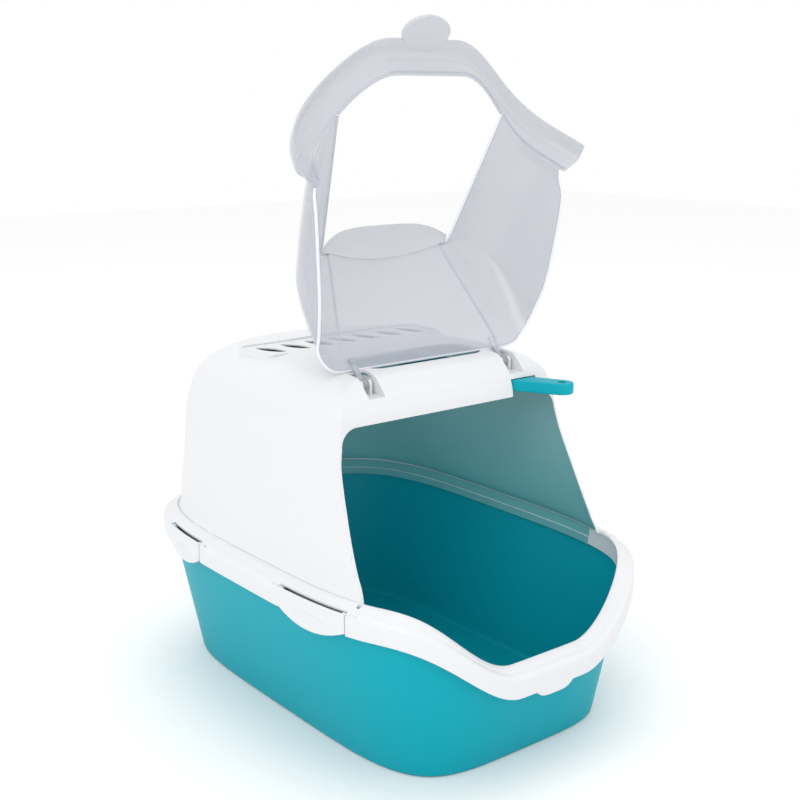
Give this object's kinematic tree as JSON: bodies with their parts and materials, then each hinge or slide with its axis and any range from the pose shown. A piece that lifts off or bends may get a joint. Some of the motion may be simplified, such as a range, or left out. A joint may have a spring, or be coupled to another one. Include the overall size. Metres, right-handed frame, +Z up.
{
  "type": "hooded cat litter box",
  "caption": "Deep tray under a clip-on hood with a translucent flip-up entry cover, side latches, a charcoal vent filter and a scoop stored under the roof.",
  "frame": {"origin": "on the floor, under the middle of the rim", "axes": "+Z up, the entrance faces -Y, +X is to the right seen from the front"},
  "size_m": [0.4014, 0.56, 0.7497],
  "materials": {
    "teal_plastic": "satin injection-moulded polypropylene",
    "white_plastic": "satin injection-moulded polypropylene",
    "frosted_plastic": "smooth translucent polypropylene",
    "charcoal_foam": "open charcoal filter pad"
  },
  "bodies": {
    "box": {"tray": "teal_plastic", "hood": "white_plastic", "filter_holder": "teal_plastic", "carbon_filter": "charcoal_foam"},
    "cover": {"front_cover": "frosted_plastic"},
    "latch_fl": {"latch_front_left": "white_plastic"},
    "latch_fr": {"latch_front_right": "white_plastic"},
    "latch_rl": {"latch_rear_left": "white_plastic"},
    "latch_rr": {"latch_rear_right": "white_plastic"},
    "scoop": {"scoop": "teal_plastic"}
  },
  "joints": [
    {"name": "cover_hinge", "type": "hinge", "parent": "box", "child": "cover", "pos_m": [0, -0.09, 0.381], "axis": [1, 0, 0], "range_deg": [0, 150]},
    {"name": "latch_fl_hinge", "type": "hinge", "parent": "box", "child": "latch_fl", "pos_m": [-0.19097, -0.12608, 0.178], "axis": [-0.1046, 0.9945, 0], "range_deg": [0, 40]},
    {"name": "latch_fr_hinge", "type": "hinge", "parent": "box", "child": "latch_fr", "pos_m": [0.19097, -0.12608, 0.178], "axis": [-0.1046, -0.9945, 0], "range_deg": [0, 40]},
    {"name": "latch_rl_hinge", "type": "hinge", "parent": "box", "child": "latch_rl", "pos_m": [-0.19216, 0.12563, 0.178], "axis": [0.0978, 0.9952, 0], "range_deg": [0, 40]},
    {"name": "latch_rr_hinge", "type": "hinge", "parent": "box", "child": "latch_rr", "pos_m": [0.19216, 0.12563, 0.178], "axis": [0.0978, -0.9952, 0], "range_deg": [0, 40]},
    {"name": "scoop_slide", "type": "slide", "parent": "box", "child": "scoop", "axis": [0.454, -0.891, 0], "range_m": [-0.0455, 0]}
  ],
  "couplings": [
    {"joint": "scoop_slide", "follows": "cover_hinge", "m_per_rad": -0.0172}
  ]
}
